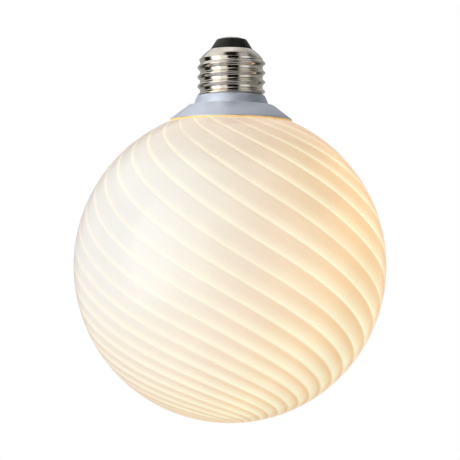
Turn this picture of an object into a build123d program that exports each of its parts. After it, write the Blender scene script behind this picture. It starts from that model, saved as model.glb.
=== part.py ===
"""Decorative LED bulb: opal swirl-glass globe, moulded collar and screw cap, hanging cap up."""

import os
from math import cos, pi, radians, sin

from build123d import *

# The origin is on the bulb's axis, in the plane where the screw cap meets the collar.
# +Z points out of the cap, up as the bulb hangs. Lengths are in millimetres, angles in degrees.

# Glass globe: its lines start under the collar and swirl down to the bottom
GLOBE_RADIUS = 60.3
GLASS_TOP_LATITUDE = 74.0
SWIRL_LINES = 25
SWIRL_ROWS = 38
SWIRL_STEP = 0.12
SWIRL_STEP_SHARE = 0.12
SWIRL_TURN = (1.665, -0.208, 0.012, 0.033, 0.052)
SWIRL_UNEVEN_SINE = 0.059
SWIRL_UNEVEN_COSINE = 0.148
SWIRL_START = 0.33
SWIRL_SOLVER_STEPS = 30

# Cement gap between the glass and the collar
CEMENT_GAP = 0.3

# Moulded collar
COLLAR_RIM_RADIUS = 23.5
COLLAR_RIM_DROP = 9.67
COLLAR_RIM_EDGE = 0.5
SKIRT_TOP_RADIUS = 16.6
RING_HEIGHT = 3.7
RING_RADIUS = 14.5
RING_EDGE_CHAMFER = 0.7
SKIRT_EDGE_CHAMFER = 0.4
SPIGOT_HEIGHT = 9.0

# Screw shell with its rolled thread
THREAD_PITCH = 3.629
THREAD_DEPTH = 1.0
ROOT_RADIUS = 12.1
THREAD_START_ANGLE = -158.0
THREAD_RUN_OUT = 1.2
SHELL_WALL = 0.4
BARREL_HEIGHT = 14.0
BARREL_ROWS = 30
SHELL_COLUMNS = 36
SHOULDER_SWELL = 0.35
SHOULDER_HEIGHT = 3.65
SHOULDER_BULGE = 0.3
SHOULDER_ROWS = 4
LIP_RADIUS = 8.35
LIP_WIDTH = 0.75
SPIGOT_CLEARANCE = 0.1

# Insulating button
BUTTON_HEIGHT = 4.05
BUTTON_BASE_RADIUS = 8.0
BUTTON_TOP_RADIUS = 5.8
BUTTON_EDGE_CHAMFER = 0.35
PLUG_DEPTH = 2.2
PLUG_CLEARANCE = 0.1

# Centre contact
CONTACT_RADIUS = 4.4
CONTACT_HEIGHT = 0.8
CONTACT_FLAT_RADIUS = 2.2
STEM_RADIUS = 1.5
STEM_LENGTH = 5.0
STEM_CLEARANCE = 0.05


# Heights and radii that follow from the driving sizes
rim_height = -COLLAR_RIM_DROP
globe_centre = rim_height - CEMENT_GAP - (GLOBE_RADIUS**2 - COLLAR_RIM_RADIUS**2) ** 0.5
glass_top_radius = GLOBE_RADIUS * cos(radians(GLASS_TOP_LATITUDE))
seat_height = globe_centre + GLOBE_RADIUS * sin(radians(GLASS_TOP_LATITUDE)) + CEMENT_GAP
bore_radius = ROOT_RADIUS - SHELL_WALL
shoulder_radius = ROOT_RADIUS + SHOULDER_SWELL
shoulder_top = BARREL_HEIGHT + SHOULDER_HEIGHT
opening_radius = LIP_RADIUS - LIP_WIDTH
button_top = shoulder_top + BUTTON_HEIGHT
contact_top = button_top + CONTACT_HEIGHT


def swirl_azimuth(phase, latitude):
    """Direction of a swirl line at a latitude, in radians from +X, both angles as the bulb hangs."""
    even = 2 * pi * (phase + SWIRL_START) / SWIRL_LINES
    spread = even
    for _ in range(SWIRL_SOLVER_STEPS):
        spread = even - SWIRL_UNEVEN_SINE * sin(spread) - SWIRL_UNEVEN_COSINE * cos(spread)
    turn = sum(share * latitude ** (power + 1) for power, share in enumerate(SWIRL_TURN))
    return spread - turn - pi / 2


def swirl_ring(row):
    """Points around the globe on one row, counted down from the glass's top edge.

    Each swirl line gives two points: the foot of its step, and the brink where the next step begins.
    """
    top = radians(GLASS_TOP_LATITUDE)
    latitude = top - (top + pi / 2) * row / SWIRL_ROWS
    height = globe_centre + GLOBE_RADIUS * sin(latitude)
    ring = []
    for line in range(SWIRL_LINES):
        foot = swirl_azimuth(line, latitude)
        brink = swirl_azimuth(line + 1 - SWIRL_STEP_SHARE, latitude)
        foot_reach = (GLOBE_RADIUS - SWIRL_STEP) * cos(latitude)
        brink_reach = GLOBE_RADIUS * cos(latitude)
        ring.append(Vector(foot_reach * cos(foot), foot_reach * sin(foot), height))
        ring.append(Vector(brink_reach * cos(brink), brink_reach * sin(brink), height))
    return ring


def thread_radius(angle, height):
    """Outside of the rolled sheet: a rounded ridge that climbs the barrel and runs out at the shoulder."""
    turns = height / THREAD_PITCH - (angle - radians(THREAD_START_ANGLE)) / (2 * pi)
    ridge = (1 + cos(2 * pi * turns)) / 2
    thread = ROOT_RADIUS + THREAD_DEPTH * ridge
    run_out = min((BARREL_HEIGHT - height) / THREAD_RUN_OUT, 1)
    return shoulder_radius + (thread - shoulder_radius) * run_out


def shell_ring(height, radius_at):
    """Points around the screw shell at a height, with a radius for each direction."""
    angles = [2 * pi * column / SHELL_COLUMNS for column in range(SHELL_COLUMNS)]
    return [Vector(radius_at(angle) * cos(angle), radius_at(angle) * sin(angle), height) for angle in angles]


def band(upper, lower):
    """Triangular facets that join two rings with the same number of points."""
    facets = []
    for left in range(len(upper)):
        right = (left + 1) % len(upper)
        facets.append(Face(Wire.make_polygon([upper[left], lower[left], upper[right]])))
        facets.append(Face(Wire.make_polygon([upper[right], lower[left], lower[right]])))
    return facets


# Blown glass globe: facets along the swirl lines, closed at the bottom and at the top edge
swirl_rings = [swirl_ring(row) for row in range(SWIRL_ROWS)]
glass_facets = [Face(Wire.make_polygon(swirl_rings[0]))]
for upper_ring, lower_ring in zip(swirl_rings, swirl_rings[1:]):
    glass_facets += band(upper_ring, lower_ring)
pole = Vector(0, 0, globe_centre - GLOBE_RADIUS)
last_ring = swirl_rings[-1]
for left_point, right_point in zip(last_ring, last_ring[1:] + last_ring[:1]):
    glass_facets.append(Face(Wire.make_polygon([left_point, pole, right_point])))
with BuildPart() as swirl_globe:
    add(Solid(Shell(glass_facets)))

# Moulded collar: ring, conical skirt, spigot for the cap and a dished seat for the glass
with BuildPart() as collar:
    with BuildSketch(Plane.XZ) as collar_section:
        with BuildLine():
            Polyline(
                (0, seat_height),
                (glass_top_radius, seat_height),
                (COLLAR_RIM_RADIUS, rim_height),
                (COLLAR_RIM_RADIUS, rim_height + COLLAR_RIM_EDGE),
                (SKIRT_TOP_RADIUS, -RING_HEIGHT),
                (RING_RADIUS, -RING_HEIGHT),
                (RING_RADIUS, 0),
                (bore_radius - SPIGOT_CLEARANCE, 0),
                (bore_radius - SPIGOT_CLEARANCE, SPIGOT_HEIGHT),
                (0, SPIGOT_HEIGHT),
                close=True,
            )
        make_face()
        ring_edge = collar_section.vertices().filter_by(lambda v: v.X == RING_RADIUS).sort_by(Axis.Y)[-1]
        chamfer(ring_edge, RING_EDGE_CHAMFER)
        skirt_edge = collar_section.vertices().filter_by(lambda v: v.X == SKIRT_TOP_RADIUS)
        chamfer(skirt_edge, SKIRT_EDGE_CHAMFER)
    revolve(axis=Axis.Z)

# Screw shell: a rolled sheet with the thread up its barrel, closed over the shoulder, with a plain bore
shell_rings = []
for row in range(BARREL_ROWS + 1):
    ring_height = BARREL_HEIGHT * row / BARREL_ROWS
    shell_rings.append(shell_ring(ring_height, lambda angle: thread_radius(angle, ring_height)))
for row in range(1, SHOULDER_ROWS + 1):
    rise = row / SHOULDER_ROWS
    slope_radius = shoulder_radius + (LIP_RADIUS - shoulder_radius) * rise + SHOULDER_BULGE * sin(pi * rise)
    shell_rings.append(shell_ring(BARREL_HEIGHT + SHOULDER_HEIGHT * rise, lambda angle: slope_radius))
shell_rings.append(shell_ring(shoulder_top, lambda angle: opening_radius))
shell_rings.append(shell_ring(BARREL_HEIGHT, lambda angle: opening_radius))
shell_rings.append(shell_ring(BARREL_HEIGHT, lambda angle: bore_radius))
shell_rings.append(shell_ring(0, lambda angle: bore_radius))
shell_facets = []
for ring, next_ring in zip(shell_rings, shell_rings[1:] + shell_rings[:1]):
    shell_facets += band(next_ring, ring)
with BuildPart() as screw_shell:
    add(Solid(Shell(shell_facets)))

# Insulating button: a short cone whose plug sits in the shell's opening
with BuildPart() as insulator:
    with BuildSketch(Plane.XZ) as button_section:
        with BuildLine():
            Polyline(
                (STEM_RADIUS + STEM_CLEARANCE, shoulder_top - PLUG_DEPTH),
                (opening_radius - PLUG_CLEARANCE, shoulder_top - PLUG_DEPTH),
                (opening_radius - PLUG_CLEARANCE, shoulder_top),
                (BUTTON_BASE_RADIUS, shoulder_top),
                (BUTTON_TOP_RADIUS, button_top),
                (STEM_RADIUS + STEM_CLEARANCE, button_top),
                close=True,
            )
        make_face()
        button_edge = button_section.vertices().filter_by(lambda v: abs(v.X - BUTTON_TOP_RADIUS) < 1e-6)
        chamfer(button_edge, BUTTON_EDGE_CHAMFER)
    revolve(axis=Axis.Z)

# Centre contact: a head with a flat tip, on a stem through the button
with BuildPart() as centre_contact:
    with BuildSketch(Plane.XZ):
        with BuildLine():
            Polyline(
                (0, button_top - STEM_LENGTH),
                (STEM_RADIUS, button_top - STEM_LENGTH),
                (STEM_RADIUS, button_top),
                (CONTACT_RADIUS, button_top),
                (CONTACT_FLAT_RADIUS, contact_top),
                (0, contact_top),
                close=True,
            )
        make_face()
    revolve(axis=Axis.Z)

# Each piece goes to its own file
swirl_globe.part.label = "swirl_globe"
collar.part.label = "collar"
screw_shell.part.label = "screw_shell"
insulator.part.label = "insulator"
centre_contact.part.label = "centre_contact"
os.makedirs("parts", exist_ok=True)
for piece in (swirl_globe, collar, screw_shell, insulator, centre_contact):
    export_step(piece.part, f"parts/{piece.part.label}.step")
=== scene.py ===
"""Looks of a decorative LED bulb: swirled opal globe, cement, collar, screw cap, button and contact."""

from math import atan2, cos, floor, hypot, pi, radians, sin, sqrt

import bpy
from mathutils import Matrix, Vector


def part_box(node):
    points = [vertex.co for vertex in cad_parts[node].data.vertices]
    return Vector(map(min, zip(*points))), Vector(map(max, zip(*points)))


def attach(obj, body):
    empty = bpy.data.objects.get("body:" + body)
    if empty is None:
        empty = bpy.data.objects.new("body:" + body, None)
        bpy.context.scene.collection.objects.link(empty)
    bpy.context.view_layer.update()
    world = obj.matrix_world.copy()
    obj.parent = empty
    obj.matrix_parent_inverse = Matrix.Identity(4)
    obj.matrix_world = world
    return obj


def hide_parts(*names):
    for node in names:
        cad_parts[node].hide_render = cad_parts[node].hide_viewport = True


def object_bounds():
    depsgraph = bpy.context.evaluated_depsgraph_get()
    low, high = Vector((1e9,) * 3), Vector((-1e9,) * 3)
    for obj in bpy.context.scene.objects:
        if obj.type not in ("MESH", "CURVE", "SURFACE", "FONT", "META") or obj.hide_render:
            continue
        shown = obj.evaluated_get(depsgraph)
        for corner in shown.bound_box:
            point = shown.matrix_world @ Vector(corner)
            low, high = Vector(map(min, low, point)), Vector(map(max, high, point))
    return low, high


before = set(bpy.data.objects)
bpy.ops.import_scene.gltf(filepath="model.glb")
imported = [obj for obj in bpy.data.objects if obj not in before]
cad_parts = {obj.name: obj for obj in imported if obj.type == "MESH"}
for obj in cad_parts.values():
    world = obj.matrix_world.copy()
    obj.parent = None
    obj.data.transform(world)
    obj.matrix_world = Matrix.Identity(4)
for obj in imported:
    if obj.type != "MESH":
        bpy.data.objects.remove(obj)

bl_info = {
    "name": "Swirl Globe Bulb",
    "version": (1, 0, 0),
    "blender": (4, 5, 0),
    "location": "3D View > Sidebar > Bulb",
    "description": "Dresses the packed LED bulb in glass, plastic and plated metal, and sets its stage",
    "category": "Object",
}

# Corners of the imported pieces' boxes, in metres
CAD_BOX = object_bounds()
GLOBE_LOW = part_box("swirl_globe")[0]
COLLAR_LOW, COLLAR_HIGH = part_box("collar")
CAP_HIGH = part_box("screw_shell")[1]
BUTTON_LOW, BUTTON_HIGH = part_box("insulator")
CONTACT_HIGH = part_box("centre_contact")[1]
BODY = "root"
MM = 0.001
MERGE = 0.001 * MM

# Edges that turn by more than the first angle are rounded, and by less than the second are shaded smooth
EDGE_ANGLE = radians(20)
SMOOTH_ANGLE = radians(40)

# Colour sockets of a Mix node, whose names repeat for every type of data
MIX_A = 6
MIX_B = 7
MIX_RESULT = 2

# The lines of the glass turn about the axis by this polynomial of the latitude, in radians
SWIRL_TURN = (1.665, -0.208, 0.012, 0.033, 0.052)
SWIRL_UNEVEN_SINE = 0.059
SWIRL_UNEVEN_COSINE = 0.148
SWIRL_START = 0.33
SOLVER_STEPS = 30

# Painted shade: the glass's glow is dimmed on the side that faces this way, towards the key lamp
PAINTED_SHADE_WAY = (-0.76, -0.53, 0.36)


def colour(text):
    """Turn an sRGB hex value into linear RGBA."""
    parts = [int(text[i:i + 2], 16) / 255 for i in (1, 3, 5)]
    linear = [p / 12.92 if p <= 0.04045 else ((p + 0.055) / 1.055) ** 2.4 for p in parts]
    return (*linear, 1.0)


def add_node(tree, kind, inputs=(), **settings):
    """Add a shader node, set its properties, and fill each listed input with a value or a link."""
    node = tree.nodes.new("ShaderNode" + kind)
    for name, value in settings.items():
        setattr(node, name, value)
    for socket, value in dict(inputs).items():
        if isinstance(value, bpy.types.NodeSocket):
            tree.links.new(value, node.inputs[socket])
        else:
            node.inputs[socket].default_value = value
    return node


def add_stops(ramp, stops):
    """Give a colour ramp its stops, each a place and an sRGB hex value."""
    elements = ramp.color_ramp.elements
    while len(elements) < len(stops):
        elements.new(1.0)
    for element, (place, text) in zip(elements, stops):
        element.position = place
        element.color = colour(text)


def start_material(name):
    """Make a material with an empty tree, and return both."""
    material = bpy.data.materials.new(name)
    material.use_nodes = True
    material.node_tree.nodes.clear()
    return material, material.node_tree


def finish_material(tree, shader):
    """Link the shader to the material's output."""
    add_node(tree, "OutputMaterial", {"Surface": shader.outputs[0]})


def start_piece(name):
    """Name the primitive that was just added."""
    piece = bpy.context.object
    piece.name = name
    piece.data.name = name
    return piece


def deselect():
    """Leave edit mode and select nothing."""
    if bpy.context.object and bpy.context.object.mode != "OBJECT":
        bpy.ops.object.mode_set(mode="OBJECT")
    bpy.ops.object.select_all(action="DESELECT")


def turn_rings(name, rings, segments, closing):
    """Turn a piece from a circle: extrude it from ring to ring, each a radius and a height.

    closing is "LOOP" to join the last ring to the first, "CAPS" to fill both ends, or "OPEN" for a sheet.
    """
    deselect()
    radius, height = rings[0]
    bpy.ops.mesh.primitive_circle_add(vertices=segments, radius=radius, location=(0, 0, height))
    piece = start_piece(name)
    bpy.ops.object.transform_apply(location=True, rotation=True, scale=True)
    bpy.ops.object.mode_set(mode="EDIT")
    bpy.ops.mesh.select_mode(type="EDGE")
    if closing == "CAPS":
        bpy.ops.mesh.edge_face_add()
    for next_radius, next_height in rings[1:]:
        bpy.ops.mesh.extrude_edges_move(TRANSFORM_OT_translate={"value": (0, 0, next_height - height)})
        share = next_radius / radius
        bpy.ops.transform.resize(value=(share, share, 1), center_override=(0, 0, next_height))
        radius, height = next_radius, next_height
    if closing == "CAPS":
        bpy.ops.mesh.edge_face_add()
    elif closing == "LOOP":
        bpy.ops.mesh.select_all(action="DESELECT")
        bpy.ops.mesh.select_non_manifold()
        bpy.ops.mesh.bridge_edge_loops()
    bpy.ops.mesh.select_all(action="SELECT")
    bpy.ops.mesh.remove_doubles(threshold=MERGE)
    bpy.ops.mesh.normals_make_consistent(inside=False)
    bpy.ops.object.mode_set(mode="OBJECT")
    return piece


def round_edges(piece, width, segments):
    """Bevel the sharp edges of a piece and smooth its shading."""
    bevel = piece.modifiers.new("edge rounding", "BEVEL")
    bevel.width = width
    bevel.segments = segments
    bevel.limit_method = "ANGLE"
    bevel.angle_limit = EDGE_ANGLE
    bpy.ops.object.modifier_apply(modifier=bevel.name)
    bpy.ops.object.shade_smooth_by_angle(angle=SMOOTH_ANGLE)


def hand_over(piece, material, slot, *nodes):
    """Give a finished piece its material and its body, and hide the nodes that it stands for; slot is not
    used.
    """
    piece.data.materials.clear()
    piece.data.materials.append(material)
    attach(piece, BODY)
    if nodes:
        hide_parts(*nodes)


def smooth_step(low, high, value):
    """Rise from 0 at low to 1 at high, gently at both ends."""
    share = min(max((value - low) / (high - low), 0.0), 1.0)
    return share * share * (3 - 2 * share)


def globe_centre(settings):
    """Height of the globe's middle."""
    return GLOBE_LOW.z + settings.half_height


def swirl_azimuth(phase, latitude, lines):
    """Direction of a swirl line, from the front to the right, at a latitude."""
    even = 2 * pi * (phase + SWIRL_START) / lines
    spread = even
    for _ in range(SOLVER_STEPS):
        spread = even - SWIRL_UNEVEN_SINE * sin(spread) - SWIRL_UNEVEN_COSINE * cos(spread)
    turn = sum(share * latitude ** (power + 1) for power, share in enumerate(SWIRL_TURN))
    return spread - turn


class BulbGlobeSettings(bpy.types.PropertyGroup):
    """Sizes and glow colours of the glass globe."""

    half_width: bpy.props.FloatProperty(
        name="Half width", description="Largest radius of the globe", default=0.0600, unit="LENGTH")
    half_height: bpy.props.FloatProperty(
        name="Half height", description="Half the globe's height, a little over its half width",
        default=0.06025, unit="LENGTH")
    lines: bpy.props.IntProperty(
        name="Swirl lines", description="Bright lines around the globe", default=25, min=3)
    relief: bpy.props.FloatProperty(
        name="Relief", description="How far the glass steps in at a line", default=0.0001, unit="LENGTH")
    top_latitude: bpy.props.FloatProperty(
        name="Top edge", description="Latitude of the glass's edge inside the collar",
        default=radians(74), subtype="ANGLE")
    # Painted shade: the LED board named below stands for the key lamp. The full glows hold on the side turned
    # from that lamp, and the dimmed glows darken them on the side that it lights.
    band_glow: bpy.props.FloatVectorProperty(
        name="Band glow", description="Light through a band on the side that the LED board faces",
        default=colour("#F0C994"), size=4, min=0.0, max=1.0, subtype="COLOR")
    line_glow: bpy.props.FloatVectorProperty(
        name="Line glow", description="Light through a line on the side that the LED board faces",
        default=colour("#FFFCD6"), size=4, min=0.0, max=1.0, subtype="COLOR")
    dimmed_band_glow: bpy.props.FloatVectorProperty(
        name="Far band glow", description="Light through a band behind the LED board",
        default=colour("#7F765C"), size=4, min=0.0, max=1.0, subtype="COLOR")
    dimmed_line_glow: bpy.props.FloatVectorProperty(
        name="Far line glow", description="Light through a line behind the LED board",
        default=colour("#D0BA96"), size=4, min=0.0, max=1.0, subtype="COLOR")


class BulbCapSettings(bpy.types.PropertyGroup):
    """Sizes of the screw cap's thread."""

    pitch: bpy.props.FloatProperty(
        name="Thread pitch", description="Rise of the rolled thread in one turn",
        default=0.003629, unit="LENGTH")
    crest: bpy.props.FloatProperty(
        name="Crest radius", description="Radius over the thread", default=CAP_HIGH.x, unit="LENGTH")
    root: bpy.props.FloatProperty(
        name="Root radius", description="Radius between the threads", default=0.0121, unit="LENGTH")
    start: bpy.props.FloatProperty(
        name="Thread start", description="Direction from +X where a crest leaves the collar's top",
        default=radians(-158), subtype="ANGLE")


class BulbStageSettings(bpy.types.PropertyGroup):
    """Camera, floor and lamps."""

    distance: bpy.props.FloatProperty(
        name="Camera distance", description="From the camera to the bulb's axis",
        default=0.62, unit="LENGTH")
    lens: bpy.props.FloatProperty(
        name="Lens", description="Focal length on a 36 mm sensor", default=126.0, unit="CAMERA")
    rise: bpy.props.FloatProperty(
        name="Shift", description="Upward shift that sets the globe low in the picture", default=0.0783)
    roll: bpy.props.FloatProperty(
        name="Roll", description="Turn of the camera about its view",
        default=radians(-0.42), subtype="ANGLE")
    floor_drop: bpy.props.FloatProperty(
        name="Floor drop", description="Height of the hanging bulb over the floor",
        default=0.85, unit="LENGTH")
    key_power: bpy.props.FloatProperty(
        name="Key power", description="Power of the soft lamp at the front left", default=9.5, unit="POWER")
    snoot_power: bpy.props.FloatProperty(
        name="Snoot power", description="Power of the narrow lamp over the collar",
        default=20.0, unit="POWER")


def swirl_phase(tree, place, azimuth, latitude, lines):
    """Count the swirl lines around the glass: a whole number on each line, rising upwards in between."""
    # The turn of the swirl at this latitude, then the uneven spacing of the lines
    turn = 0.0
    for share in reversed(SWIRL_TURN):
        inner = add_node(tree, "Math", {0: turn, 1: share}, operation="ADD").outputs[0]
        turn = add_node(tree, "Math", {0: inner, 1: latitude}, operation="MULTIPLY").outputs[0]
    spread = add_node(tree, "Math", {0: azimuth, 1: turn}, operation="ADD").outputs[0]
    sine = add_node(tree, "Math", {0: spread}, operation="SINE").outputs[0]
    cosine = add_node(tree, "Math", {0: spread}, operation="COSINE").outputs[0]
    even = spread
    for wave, share in ((sine, SWIRL_UNEVEN_SINE), (cosine, SWIRL_UNEVEN_COSINE)):
        even = add_node(tree, "Math", {0: wave, 1: share, 2: even}, operation="MULTIPLY_ADD").outputs[0]
    phase = add_node(
        tree, "Math", {0: even, 1: lines / (2 * pi), 2: lines - SWIRL_START},
        operation="MULTIPLY_ADD").outputs[0]

    # The lines wander a little, as drawn glass does: a slow noise about 45 mm long
    drift = add_node(tree, "TexNoise", {"Vector": place, "Scale": 1 / (45 * MM), "Detail": 0.0})
    drift = add_node(
        tree, "MapRange",
        {"Value": drift.outputs["Fac"], "From Min": 0.25, "From Max": 0.75, "To Min": -0.05, "To Max": 0.05})
    return add_node(tree, "Math", {0: phase, 1: drift.outputs[0]}, operation="ADD").outputs[0]


def line_brightness(tree, phase, latitude, side, lines):
    """Brightness of the swirl lines, from 1 on a line to 0 on the band between two.

    A line fades upwards, farther low on the globe and where it glows most, and half as far on the side
    that the key lamp lights, as part of the painted shade there. Its lower edge is crisp, and softer low on
    the globe.
    """
    within = add_node(tree, "Math", {0: phase}, operation="FRACT").outputs[0]
    length = add_node(
        tree, "MapRange",
        {"Value": latitude, "From Min": -0.2, "From Max": 0.9, "To Min": 0.72, "To Max": 0.34}).outputs[0]
    short = add_node(tree, "MapRange", {"Value": side, "To Min": 1.0, "To Max": 0.5}).outputs[0]
    length = add_node(tree, "Math", {0: length, 1: short}, operation="MULTIPLY").outputs[0]
    fade = add_node(tree, "Math", {0: within, 1: length}, operation="DIVIDE", use_clamp=True).outputs[0]
    power = add_node(
        tree, "MapRange",
        {"Value": latitude, "From Min": -0.7, "From Max": -0.15, "To Min": 1.2, "To Max": 0.52}).outputs[0]
    fade = add_node(tree, "Math", {0: fade, 1: power}, operation="POWER").outputs[0]
    fade = add_node(tree, "Math", {0: 1.0, 1: fade}, operation="SUBTRACT").outputs[0]
    foot = add_node(
        tree, "MapRange",
        {"Value": latitude, "From Min": -0.7, "From Max": 0.0, "To Min": 0.78, "To Max": 0.92}).outputs[0]
    edge = add_node(
        tree, "MapRange", {"Value": within, "From Min": foot, "From Max": 1.0},
        interpolation_type="SMOOTHSTEP").outputs[0]
    line = add_node(tree, "Math", {0: fade, 1: edge}, operation="MAXIMUM").outputs[0]

    # No two lines are equally bright
    nearest = add_node(tree, "Math", {0: phase, 1: 0.5}, operation="ADD").outputs[0]
    nearest = add_node(tree, "Math", {0: nearest}, operation="FLOOR").outputs[0]
    nearest = add_node(tree, "Math", {0: nearest, 1: float(lines)}, operation="FLOORED_MODULO").outputs[0]
    own = add_node(tree, "TexWhiteNoise", {"W": nearest}, noise_dimensions="1D").outputs["Value"]
    own = add_node(tree, "MapRange", {"Value": own, "To Min": 0.82, "To Max": 1.0}).outputs[0]
    return add_node(tree, "Math", {0: line, 1: own}, operation="MULTIPLY").outputs[0]


def opal_glass(settings):
    """Blown opal glass, lit from inside: thin bright lines that fade upwards into peach bands.

    The bands scatter outside light as white. Their glow is painted weaker on the side that the key lamp
    lights: painted shade, a dimmed copy of the glow.
    """
    material, tree = start_material("Opal glass, blown and lit")
    place = add_node(tree, "TexCoord").outputs["Object"]
    centre = (0, 0, globe_centre(settings))
    half = (settings.half_width, settings.half_width, settings.half_height)
    arm = add_node(tree, "VectorMath", {0: place, 1: centre}, operation="SUBTRACT").outputs[0]
    arm = add_node(tree, "VectorMath", {0: arm, 1: half}, operation="DIVIDE").outputs[0]
    x, y, z = add_node(tree, "SeparateXYZ", {0: arm}).outputs
    flat = add_node(tree, "VectorMath", {0: arm, 1: (1, 1, 0)}, operation="MULTIPLY").outputs[0]
    reach = add_node(tree, "VectorMath", {0: flat}, operation="LENGTH").outputs["Value"]
    latitude = add_node(tree, "Math", {0: z, 1: reach}, operation="ARCTAN2").outputs[0]
    front = add_node(tree, "Math", {0: y, 1: -1.0}, operation="MULTIPLY").outputs[0]
    azimuth = add_node(tree, "Math", {0: x, 1: front}, operation="ARCTAN2").outputs[0]

    # How far a place faces the key lamp, where the painted shade dims the glow
    away = add_node(tree, "VectorMath", {0: arm, 1: PAINTED_SHADE_WAY}, operation="DOT_PRODUCT").outputs["Value"]
    side = add_node(tree, "MapRange", {"Value": away, "From Min": -0.1, "From Max": 0.95}).outputs[0]
    phase = swirl_phase(tree, place, azimuth, latitude, settings.lines)
    line = line_brightness(tree, phase, latitude, side, settings.lines)

    # Glow of band and line, full and with painted shade dimming it on the key lamp's side, less so towards
    # the top, and the white that they scatter
    full_glow = add_node(
        tree, "Mix", {0: line, MIX_A: settings.band_glow, MIX_B: settings.line_glow},
        data_type="RGBA").outputs[MIX_RESULT]
    dimmed_glow = add_node(
        tree, "Mix", {0: line, MIX_A: settings.dimmed_band_glow, MIX_B: settings.dimmed_line_glow},
        data_type="RGBA").outputs[MIX_RESULT]
    lift = add_node(
        tree, "MapRange",
        {"Value": z, "From Min": 0.35, "From Max": 0.85, "To Min": 1.0, "To Max": 1.35}).outputs[0]
    dimmed_glow = add_node(tree, "VectorMath", {0: dimmed_glow, 1: lift}, operation="MULTIPLY").outputs[0]
    glow = add_node(
        tree, "Mix", {0: side, MIX_A: full_glow, MIX_B: dimmed_glow}, data_type="RGBA").outputs[MIX_RESULT]
    base = add_node(
        tree, "Mix", {0: line, MIX_A: colour("#EEF1F4"), MIX_B: colour("#C8CDD2")},
        data_type="RGBA").outputs[MIX_RESULT]

    # Painted shade near the collar, where its shadow falls: the bands are darker there and glow less. The
    # glow also fades towards the bottom, which is farther from the board
    near = add_node(tree, "MapRange", {"Value": z, "From Min": 0.6, "From Max": 1.0}).outputs[0]
    thin = add_node(
        tree, "Mix", {0: near, MIX_A: colour("#FFFFFF"), MIX_B: colour("#DACFC8")},
        data_type="RGBA").outputs[MIX_RESULT]
    base = add_node(tree, "VectorMath", {0: base, 1: thin}, operation="MULTIPLY").outputs[0]
    thin = add_node(tree, "VectorMath", {0: thin, 1: line}, operation="MAXIMUM").outputs[0]
    glow = add_node(tree, "VectorMath", {0: glow, 1: thin}, operation="MULTIPLY").outputs[0]
    reached = add_node(
        tree, "MapRange",
        {"Value": z, "From Min": -0.9, "From Max": 0.3, "To Min": 0.86, "To Max": 1.02}).outputs[0]
    glow = add_node(tree, "VectorMath", {0: glow, 1: reached}, operation="MULTIPLY").outputs[0]

    # A grazing sight line passes through more glass, so the limb is darker and warmer
    graze = add_node(tree, "LayerWeight", {"Blend": 0.5}).outputs["Facing"]
    graze = add_node(tree, "MapRange", {"Value": graze, "From Min": 0.73, "From Max": 1.0}).outputs[0]
    limb = add_node(
        tree, "Mix", {0: graze, MIX_A: colour("#FFFFFF"), MIX_B: colour("#D0B49C")},
        data_type="RGBA").outputs[MIX_RESULT]
    glow = add_node(tree, "VectorMath", {0: glow, 1: limb}, operation="MULTIPLY").outputs[0]

    # Clouds in the opal, about 12 mm across, vary the glow by a few percent
    cloud = add_node(tree, "TexNoise", {"Vector": place, "Scale": 1 / (12 * MM), "Detail": 3.0})
    level = add_node(
        tree, "MapRange",
        {"Value": cloud.outputs["Fac"], "From Min": 0.3, "From Max": 0.7, "To Min": 0.975, "To Max": 1.025})
    glow = add_node(tree, "VectorMath", {0: glow, 1: level.outputs[0]}, operation="MULTIPLY").outputs[0]
    shader = add_node(tree, "BsdfPrincipled", {
        "Base Color": base,
        "Roughness": 0.1,
        "IOR": 1.5,
        "Specular IOR Level": 0.35,
        "Emission Color": glow,
        "Emission Strength": 1.0,
    })
    finish_material(tree, shader)
    return material


def amber_cement():
    """Cured amber cement: a mottled bead at the edge of the glass, with a painted glow for the bulb's light
    through it.
    """
    material, tree = start_material("Amber cement, cured")
    place = add_node(tree, "TexCoord").outputs["Object"]
    grain = add_node(tree, "TexNoise", {"Vector": place, "Scale": 1 / (2.5 * MM), "Detail": 2.0})
    ramp = add_node(tree, "ValToRGB", {0: grain.outputs["Fac"]})
    add_stops(ramp, ((0.3, "#D8AC5C"), (0.7, "#ECCB80")))
    shader = add_node(tree, "BsdfPrincipled", {
        "Base Color": ramp.outputs["Color"],
        "Roughness": 0.35,
        "Emission Color": ramp.outputs["Color"],
        "Emission Strength": 0.6,
    })
    finish_material(tree, shader)
    return material


def lacquered_plastic():
    """Moulded PBT under silver lacquer: a satin, faintly blue sheen that mirrors the room softly."""
    material, tree = start_material("PBT, silver lacquered")
    place = add_node(tree, "TexCoord").outputs["Object"]
    mottle = add_node(tree, "TexNoise", {"Vector": place, "Scale": 1 / (4 * MM), "Detail": 3.0})
    ramp = add_node(tree, "ValToRGB", {0: mottle.outputs["Fac"]})
    add_stops(ramp, ((0.3, "#CED5E3"), (0.7, "#D4DAE7")))
    skin = add_node(tree, "TexNoise", {"Vector": place, "Scale": 1 / (2 * MM), "Detail": 2.0})
    rough = add_node(
        tree, "MapRange",
        {"Value": skin.outputs["Fac"], "From Min": 0.3, "From Max": 0.7, "To Min": 0.33, "To Max": 0.38})
    shader = add_node(tree, "BsdfPrincipled", {
        "Base Color": ramp.outputs["Color"],
        "Metallic": 0.5,
        "Roughness": rough.outputs[0],
        "IOR": 1.55,
    })
    finish_material(tree, shader)
    return material


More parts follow.
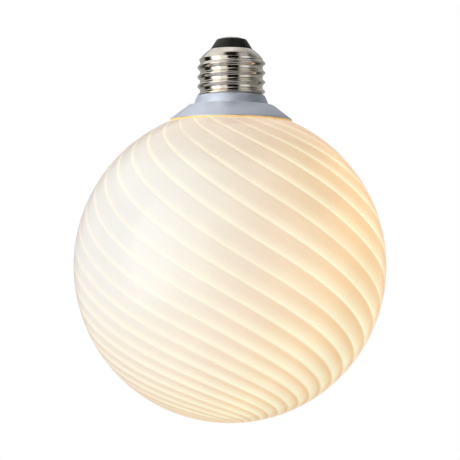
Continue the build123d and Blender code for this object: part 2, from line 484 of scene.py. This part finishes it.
def plated_metal():
    """Nickel-plated brass sheet: mirror bright, faintly stained, with rolling marks that run round the cap.

    The marks are drawn 0.35 mm apart, coarser than real ones, so that they show.
    """
    material, tree = start_material("Nickel plate, rolled")
    place = add_node(tree, "TexCoord").outputs["Object"]
    around = add_node(tree, "Mapping", {"Vector": place, "Scale": (0.15, 0.15, 1.0)}).outputs[0]
    marks = add_node(tree, "TexNoise", {"Vector": around, "Scale": 1 / (0.35 * MM), "Detail": 3.0})
    rough = add_node(
        tree, "MapRange",
        {"Value": marks.outputs["Fac"], "From Min": 0.3, "From Max": 0.7, "To Min": 0.07, "To Max": 0.14})
    stain = add_node(tree, "TexNoise", {"Vector": place, "Scale": 1 / (5 * MM), "Detail": 4.0})
    ramp = add_node(tree, "ValToRGB", {0: stain.outputs["Fac"]})
    add_stops(ramp, ((0.3, "#CFC7B8"), (0.7, "#E2DDD2")))
    bump = add_node(
        tree, "Bump", {"Height": marks.outputs["Fac"], "Strength": 0.05, "Distance": 0.05 * MM})
    shader = add_node(tree, "BsdfPrincipled", {
        "Base Color": ramp.outputs["Color"],
        "Metallic": 1.0,
        "Roughness": rough.outputs[0],
        "Normal": bump.outputs[0],
    })
    finish_material(tree, shader)
    return material


def black_glass():
    """Black vitreous insulator: dark, with a dull gloss and a fine grit.

    The grit is drawn at 0.6 mm, coarser than it is, so that it shows.
    """
    material, tree = start_material("Vitreous insulator, pressed")
    place = add_node(tree, "TexCoord").outputs["Object"]
    grit = add_node(tree, "TexNoise", {"Vector": place, "Scale": 1 / (0.6 * MM), "Detail": 3.0})
    ramp = add_node(tree, "ValToRGB", {0: grit.outputs["Fac"]})
    add_stops(ramp, ((0.35, "#0F0F0E"), (0.75, "#222220")))
    bump = add_node(tree, "Bump", {"Height": grit.outputs["Fac"], "Strength": 0.15, "Distance": 0.1 * MM})
    shader = add_node(tree, "BsdfPrincipled", {
        "Base Color": ramp.outputs["Color"],
        "Roughness": 0.4,
        "Specular IOR Level": 0.25,
        "Normal": bump.outputs[0],
    })
    finish_material(tree, shader)
    return material


def tinned_metal():
    """Tinned contact: pale metal with a soft, slightly pitted face.

    The pits are drawn at 0.8 mm, coarser than they are, so that they show.
    """
    material, tree = start_material("Tin, soldered")
    place = add_node(tree, "TexCoord").outputs["Object"]
    pits = add_node(tree, "TexNoise", {"Vector": place, "Scale": 1 / (0.8 * MM), "Detail": 4.0})
    ramp = add_node(tree, "ValToRGB", {0: pits.outputs["Fac"]})
    add_stops(ramp, ((0.3, "#B9B6AE"), (0.7, "#D8D5CC")))
    bump = add_node(tree, "Bump", {"Height": pits.outputs["Fac"], "Strength": 0.25, "Distance": 0.1 * MM})
    shader = add_node(tree, "BsdfPrincipled", {
        "Base Color": ramp.outputs["Color"],
        "Metallic": 1.0,
        "Roughness": 0.32,
        "Normal": bump.outputs[0],
    })
    finish_material(tree, shader)
    return material


def matt_floor():
    """Matt studio floor: pale to the camera, dim to the glass above it, with a trace of dust."""
    material, tree = start_material("Studio floor, matt")
    place = add_node(tree, "TexCoord").outputs["Object"]
    dust = add_node(tree, "TexNoise", {"Vector": place, "Scale": 1 / (60 * MM), "Detail": 2.0})
    tone = add_node(tree, "ValToRGB", {0: dust.outputs["Fac"]})
    add_stops(tone, ((0.3, "#B2B2B0"), (0.7, "#B8B8B6")))
    seen = add_node(tree, "LightPath").outputs["Is Camera Ray"]
    seen = add_node(tree, "Math", {0: seen, 1: 0.8}, operation="MULTIPLY").outputs[0]
    shader = add_node(tree, "BsdfPrincipled", {
        "Base Color": tone.outputs["Color"],
        "Roughness": 0.8,
        "Emission Color": colour("#FFFFFF"),
        "Emission Strength": seen,
    })
    finish_material(tree, shader)
    return material


class BulbGlobe(bpy.types.Operator):
    """Blow the globe: a ball whose columns follow the swirl lines, with a slight step beside each line"""

    bl_idname = "bulb.globe"
    bl_label = "Glass Globe"

    columns_per_line = 10
    rows = 160
    step_share = 0.12

    def execute(self, context):
        settings = context.scene.bulb_globe
        deselect()
        segments = settings.lines * self.columns_per_line
        bpy.ops.mesh.primitive_uv_sphere_add(segments=segments, ring_count=self.rows, radius=1.0)
        piece = start_piece("globe_glass")
        centre = globe_centre(settings)
        for vertex in piece.data.vertices:
            east, north, up = vertex.co
            reach = hypot(east, north)
            latitude = atan2(up, reach)
            phase = atan2(north, east) * settings.lines / (2 * pi)
            azimuth = swirl_azimuth(phase, latitude, settings.lines)
            within = phase - floor(phase)
            rise = min(within / (1 - self.step_share), (1 - within) / self.step_share)
            sunk = settings.relief * cos(latitude) * (1 - rise)
            width = (settings.half_width - sunk) * reach
            height = (settings.half_height - sunk) * up
            vertex.co = Vector((width * sin(azimuth), -width * cos(azimuth), centre + height))
        bpy.ops.object.mode_set(mode="EDIT")
        bpy.ops.mesh.select_all(action="SELECT")
        edge = centre + settings.half_height * sin(settings.top_latitude)
        bpy.ops.mesh.bisect(plane_co=(0, 0, edge), plane_no=(0, 0, 1), use_fill=True, clear_outer=True)
        bpy.ops.mesh.select_all(action="SELECT")
        bpy.ops.mesh.remove_doubles(threshold=MERGE)
        bpy.ops.mesh.normals_make_consistent(inside=False)
        bpy.ops.object.mode_set(mode="OBJECT")
        bpy.ops.object.shade_smooth_by_angle(angle=SMOOTH_ANGLE)
        hand_over(piece, opal_glass(settings), "opal_glass", "swirl_globe")
        return {"FINISHED"}


class BulbCement(bpy.types.Operator):
    """Lay the thin bead of cement that shows between the glass and the collar"""

    bl_idname = "bulb.cement"
    bl_label = "Cement Bead"

    segments = 160
    width = 2.5 * MM
    sunk = 0.2 * MM
    thickness = 0.3 * MM
    foot_inset = 0.1 * MM
    edge_inset = 0.05 * MM
    collar_lap = 0.1 * MM
    rounding = 0.08 * MM

    def execute(self, context):
        settings = context.scene.bulb_globe
        rim = COLLAR_HIGH.x
        centre = globe_centre(settings)
        inner = rim - self.width

        def glass(radius):
            """Height of the glass at a distance from the axis."""
            return centre + settings.half_height * sqrt(1 - (radius / settings.half_width) ** 2)

        rings = (
            (inner, glass(inner) - self.sunk),
            (rim - self.foot_inset, glass(rim) - self.sunk),
            (rim - self.edge_inset, COLLAR_LOW.z + self.collar_lap),
            (inner, glass(inner) + self.thickness),
        )
        piece = turn_rings("cement_line", rings, self.segments, "LOOP")
        round_edges(piece, self.rounding, 2)
        hand_over(piece, amber_cement(), "opal_glass")
        return {"FINISHED"}


class BulbCollar(bpy.types.Operator):
    """Mould the collar: upper ring, step and conical skirt with rounded edges"""

    bl_idname = "bulb.collar"
    bl_label = "Collar"

    segments = 160
    throat_radius = 12.2 * MM
    throat_depth = 0.4 * MM
    throat_edge = 12.4 * MM
    # Radius and drop of the ring's flaring side, in millimetres
    ring_side = ((12.9, 0.0), (13.5, 1.1), (14.0, 2.4), (14.5, 3.7))
    skirt_radius = 16.4 * MM
    skirt_drop = 3.8 * MM
    rim_height = 0.45 * MM
    seat_radius = 17.0 * MM
    seat_rise = 2.3 * MM
    rounding = 0.45 * MM

    def execute(self, context):
        rim = COLLAR_HIGH.x
        seat = COLLAR_LOW.z
        rings = (
            (self.throat_radius, -self.throat_depth),
            (self.throat_edge, 0.0),
            *((radius * MM, -drop * MM) for radius, drop in self.ring_side),
            (self.skirt_radius, -self.skirt_drop),
            (rim, seat + self.rim_height),
            (rim, seat),
            (self.seat_radius, seat + self.seat_rise),
        )
        piece = turn_rings("collar_moulding", rings, self.segments, "LOOP")
        round_edges(piece, self.rounding, 4)
        hand_over(piece, lacquered_plastic(), "collar_plastic", "collar")
        return {"FINISHED"}


class BulbScrewCap(bpy.types.Operator):
    """Roll the screw cap: a sheet tube whose wall follows the thread and closes over the shoulder"""

    bl_idname = "bulb.screw_cap"
    bl_label = "Screw Cap"

    segments = 200
    rows = 130
    barrel = 14.0 * MM
    lip_radius = 8.35 * MM
    shoulder_bulge = 0.35 * MM
    run_out_start = 1.0 * MM
    run_out_end = 0.4 * MM
    crest_power = 1.7
    wall = 0.35 * MM
    smooth_angle = radians(50)

    def execute(self, context):
        cap = context.scene.bulb_cap
        top = CAP_HIGH.z
        rings = [(cap.root, top * row / self.rows) for row in range(self.rows + 1)]
        piece = turn_rings("screw_shell_metal", rings, self.segments, "OPEN")
        for vertex in piece.data.vertices:
            angle = atan2(vertex.co.y, vertex.co.x)
            height = vertex.co.z
            turns = height / cap.pitch - (angle - cap.start) / (2 * pi)
            wave = (0.5 + 0.5 * cos(2 * pi * turns)) ** self.crest_power
            thread = cap.root + (cap.crest - cap.root) * wave
            slope = min(max((height - self.barrel) / (top - self.barrel), 0.0), 1.0)
            shoulder = cap.root + (self.lip_radius - cap.root) * slope + self.shoulder_bulge * sin(pi * slope)
            over = smooth_step(self.barrel - self.run_out_start, self.barrel + self.run_out_end, height)
            reach = thread + (shoulder - thread) * over
            vertex.co.x = reach * cos(angle)
            vertex.co.y = reach * sin(angle)
        sheet = piece.modifiers.new("sheet thickness", "SOLIDIFY")
        sheet.thickness = self.wall
        sheet.offset = -1.0
        bpy.ops.object.modifier_apply(modifier=sheet.name)
        bpy.ops.object.shade_smooth_by_angle(angle=self.smooth_angle)
        hand_over(piece, plated_metal(), "plated_metal", "screw_shell")
        return {"FINISHED"}


class BulbButton(bpy.types.Operator):
    """Press the insulating button: a short cone with a rounded brim and a plug in the cap"""

    bl_idname = "bulb.button"
    bl_label = "Insulating Button"

    segments = 128
    plug_radius = 7.4 * MM
    brim_radius = 8.0 * MM
    brim_height = 0.35 * MM
    cone_radius = 5.85 * MM
    cone_edge = 0.3 * MM
    top_radius = 5.4 * MM
    rounding = 0.2 * MM

    def execute(self, context):
        base = CAP_HIGH.z
        rings = (
            (self.plug_radius, BUTTON_LOW.z),
            (self.plug_radius, base),
            (self.brim_radius, base),
            (self.brim_radius, base + self.brim_height),
            (self.cone_radius, BUTTON_HIGH.z - self.cone_edge),
            (self.top_radius, BUTTON_HIGH.z),
        )
        piece = turn_rings("button_black", rings, self.segments, "CAPS")
        round_edges(piece, self.rounding, 3)
        hand_over(piece, black_glass(), "black_insulator", "insulator")
        return {"FINISHED"}


class BulbContact(bpy.types.Operator):
    """Form the centre contact: a shallow dome with a flat tip"""

    bl_idname = "bulb.contact"
    bl_label = "Centre Contact"

    segments = 96
    sunk = 0.2 * MM
    tip_inset = 0.01 * MM
    head_radius = 4.4 * MM
    head_height = 0.35 * MM
    dome_radius = 3.9 * MM
    dome_height = 0.6 * MM
    crown_radius = 3.0 * MM
    crown_drop = 0.12 * MM
    tip_radius = 2.2 * MM
    rounding = 0.12 * MM

    def execute(self, context):
        foot = BUTTON_HIGH.z - self.sunk
        tip = CONTACT_HIGH.z - self.tip_inset
        rings = (
            (self.head_radius, foot),
            (self.head_radius, foot + self.head_height),
            (self.dome_radius, foot + self.dome_height),
            (self.crown_radius, tip - self.crown_drop),
            (self.tip_radius, tip),
        )
        piece = turn_rings("contact_tip", rings, self.segments, "CAPS")
        round_edges(piece, self.rounding, 3)
        hand_over(piece, tinned_metal(), "contact_metal", "centre_contact")
        return {"FINISHED"}


class BulbStage(bpy.types.Operator):
    """Set the stage: pale floor, white surroundings, two lamps and the camera"""

    bl_idname = "bulb.stage"
    bl_label = "Stage"

    # Places and lengths in metres
    floor_radius = 1.5
    floor_segments = 128
    key_place = (-0.74, -0.62, 0.10)
    key_width = 1.3
    key_height = 0.9
    snoot_place = (-0.06, -0.10, 0.75)
    snoot_aim = (0.0, 0.0, -0.007)
    snoot_angle = radians(3.6)
    snoot_blend = 0.15
    snoot_radius = 0.03

    # The room that mirrors show, as tones around the bulb: 0 and 1 are behind it, 0.5 is at the camera
    walls = (
        (0.00, "#B0ADA6"), (0.16, "#A09C96"), (0.20, "#201E1C"), (0.26, "#1C1A18"), (0.30, "#FAFAF8"),
        (0.445, "#FFFFFF"), (0.468, "#100E0C"), (0.566, "#0C0A08"), (0.60, "#DCDAD4"), (0.66, "#F0EEE8"),
        (0.72, "#8C887E"), (0.85, "#9C988E"), (1.00, "#B0ADA6"),
    )
    upper_walls = (
        (0.00, "#E0E0E6"), (0.20, "#F0F0F4"), (0.45, "#F4F4F8"), (0.49, "#DCDCE2"), (0.56, "#44464E"),
        (0.60, "#1C1E26"), (0.80, "#181A20"), (0.86, "#808084"), (1.00, "#E0E0E6"),
    )
    ceiling = (
        (0.00, "#F4F4F8"), (0.43, "#D8DCE4"), (0.46, "#141414"), (0.57, "#141414"), (0.60, "#C8CCD6"),
        (0.85, "#A0A4AC"), (1.00, "#F4F4F8"),
    )

    def execute(self, context):
        settings = context.scene.bulb_stage
        centre = globe_centre(context.scene.bulb_globe)
        self.lay_floor(settings)
        self.light_world(context.scene)
        self.hang_key(context.scene, settings.key_power, centre)
        self.hang_snoot(context.scene, settings.snoot_power)
        camera = bpy.data.objects.new("camera", bpy.data.cameras.new("camera"))
        camera.data.lens = settings.lens
        camera.data.shift_y = settings.rise
        camera.location = (0.0, -settings.distance, centre)
        camera.rotation_euler = (radians(90), settings.roll, 0)
        context.scene.collection.objects.link(camera)
        context.scene.camera = camera
        context.scene.view_settings.view_transform = "Standard"
        return {"FINISHED"}

    def lay_floor(self, settings):
        """Lay a round floor below the hanging bulb."""
        deselect()
        bpy.ops.mesh.primitive_circle_add(
            vertices=self.floor_segments, radius=self.floor_radius, fill_type="NGON",
            location=(0, 0, CAD_BOX[0][2] - settings.floor_drop))
        floor_disc = start_piece("floor")
        floor_disc.data.materials.append(matt_floor())

    def light_world(self, scene):
        """Surround the bulb: plain white to the camera, a room with a softbox to mirrors, dim to the rest."""
        world = bpy.data.worlds.new("studio")
        world.use_nodes = True
        tree = world.node_tree
        tree.nodes.clear()
        way = add_node(tree, "TexCoord").outputs["Generated"]
        x, y, z = add_node(tree, "SeparateXYZ", {0: way}).outputs
        front = add_node(tree, "Math", {0: y, 1: -1.0}, operation="MULTIPLY").outputs[0]
        azimuth = add_node(tree, "Math", {0: x, 1: front}, operation="ARCTAN2").outputs[0]
        share = add_node(tree, "MapRange", {"Value": azimuth, "From Min": -pi, "From Max": pi}).outputs[0]

        # Walls, upper walls and ceiling, one over the other, with a dark patch overhead
        ramp = add_node(tree, "ValToRGB", {0: share})
        add_stops(ramp, self.walls)
        room = ramp.outputs["Color"]
        for stops, start, end in ((self.upper_walls, 0.45, 0.55), (self.ceiling, 0.80, 0.86)):
            ramp = add_node(tree, "ValToRGB", {0: share})
            add_stops(ramp, stops)
            high = add_node(tree, "MapRange", {"Value": z, "From Min": start, "From Max": end}).outputs[0]
            room = add_node(
                tree, "Mix", {0: high, MIX_A: room, MIX_B: ramp.outputs["Color"]},
                data_type="RGBA").outputs[MIX_RESULT]
        zenith = add_node(tree, "MapRange", {"Value": z, "From Min": 0.95, "From Max": 0.98}).outputs[0]
        ahead = add_node(tree, "MapRange", {"Value": front, "From Min": -0.18, "From Max": -0.06}).outputs[0]
        zenith = add_node(tree, "Math", {0: zenith, 1: ahead}, operation="MULTIPLY").outputs[0]
        room = add_node(
            tree, "Mix", {0: zenith, MIX_A: room, MIX_B: colour("#141414")},
            data_type="RGBA").outputs[MIX_RESULT]
        level = add_node(tree, "RGBToBW", {0: room}).outputs[0]

        # The room darkens towards the floor
        low = add_node(
            tree, "MapRange",
            {"Value": z, "From Min": -0.55, "From Max": -0.2, "To Min": 0.1, "To Max": 1.2}).outputs[0]
        level = add_node(tree, "Math", {0: level, 1: low}, operation="MULTIPLY").outputs[0]

        # The softbox as the glass and the plating mirror it, with soft edges
        box = 1.0
        sides = ((share, 0.285, 0.300), (share, 0.390, 0.378), (z, -0.42, -0.30), (z, 0.70, 0.62))
        for value, start, end in sides:
            edge = add_node(
                tree, "MapRange", {"Value": value, "From Min": start, "From Max": end},
                interpolation_type="SMOOTHSTEP").outputs[0]
            box = add_node(tree, "Math", {0: edge, 1: box}, operation="MULTIPLY").outputs[0]
        level = add_node(tree, "Math", {0: box, 1: 0.9, 2: level}, operation="MULTIPLY_ADD").outputs[0]

        # Rays that aren't mirrored meet a dimmer room, and the camera's meet white
        rays = add_node(tree, "LightPath").outputs
        mirror = add_node(
            tree, "MapRange", {"Value": rays["Is Glossy Ray"], "To Min": 0.10, "To Max": 1.0}).outputs[0]
        level = add_node(tree, "Math", {0: level, 1: mirror}, operation="MULTIPLY").outputs[0]
        level = add_node(tree, "Math", {0: level, 1: rays["Is Camera Ray"]}, operation="MAXIMUM").outputs[0]
        light = add_node(tree, "Background", {"Color": colour("#FFFFFF"), "Strength": level})
        add_node(tree, "OutputWorld", {"Surface": light.outputs[0]})
        scene.world = world

    def hang_key(self, scene, power, centre):
        """Hang a soft rectangular lamp that faces the globe from the front left."""
        lamp = bpy.data.lights.new("key softbox", "AREA")
        lamp.shape = "RECTANGLE"
        lamp.size = self.key_width
        lamp.size_y = self.key_height
        lamp.energy = power
        self.hang(scene, lamp, self.key_place, (0.0, 0.0, centre))

    def hang_snoot(self, scene, power):
        """Hang a narrow spot that lights the collar from above."""
        lamp = bpy.data.lights.new("collar snoot", "SPOT")
        lamp.spot_size = self.snoot_angle
        lamp.spot_blend = self.snoot_blend
        lamp.shadow_soft_size = self.snoot_radius
        lamp.energy = power
        self.hang(scene, lamp, self.snoot_place, self.snoot_aim)

    def hang(self, scene, lamp, place, aim):
        """Put a lamp in its place, turned to its aim. Mirrors show the world's softbox instead of it."""
        holder = bpy.data.objects.new(lamp.name, lamp)
        holder.visible_glossy = False
        holder.location = place
        way = Vector(aim) - Vector(place)
        holder.rotation_euler = way.to_track_quat("-Z", "Y").to_euler()
        scene.collection.objects.link(holder)


class BulbPanel(bpy.types.Panel):
    """Lists the bulb's pieces and their settings"""

    bl_idname = "BULB_PT_pieces"
    bl_label = "Swirl Globe Bulb"
    bl_space_type = "VIEW_3D"
    bl_region_type = "UI"
    bl_category = "Bulb"

    def draw(self, context):
        layout = self.layout
        for group in (context.scene.bulb_globe, context.scene.bulb_cap, context.scene.bulb_stage):
            for name in type(group).__annotations__:
                layout.prop(group, name)
        for operator in OPERATORS:
            layout.operator(operator.bl_idname)


SETTINGS = {
    "bulb_globe": BulbGlobeSettings,
    "bulb_cap": BulbCapSettings,
    "bulb_stage": BulbStageSettings,
}
OPERATORS = (BulbGlobe, BulbCement, BulbCollar, BulbScrewCap, BulbButton, BulbContact, BulbStage)


def register():
    """Register the settings, operators and panel."""
    for name, group in SETTINGS.items():
        bpy.utils.register_class(group)
        setattr(bpy.types.Scene, name, bpy.props.PointerProperty(type=group))
    for operator in OPERATORS:
        bpy.utils.register_class(operator)
    bpy.utils.register_class(BulbPanel)


def unregister():
    """Take the panel, operators and settings away again."""
    bpy.utils.unregister_class(BulbPanel)
    for operator in reversed(OPERATORS):
        bpy.utils.unregister_class(operator)
    for name, group in SETTINGS.items():
        delattr(bpy.types.Scene, name)
        bpy.utils.unregister_class(group)


def main():
    """Build every piece and the stage."""
    register()
    bpy.ops.bulb.globe()
    bpy.ops.bulb.cement()
    bpy.ops.bulb.collar()
    bpy.ops.bulb.screw_cap()
    bpy.ops.bulb.button()
    bpy.ops.bulb.contact()
    bpy.ops.bulb.stage()


if __name__ == "__main__":
    main()
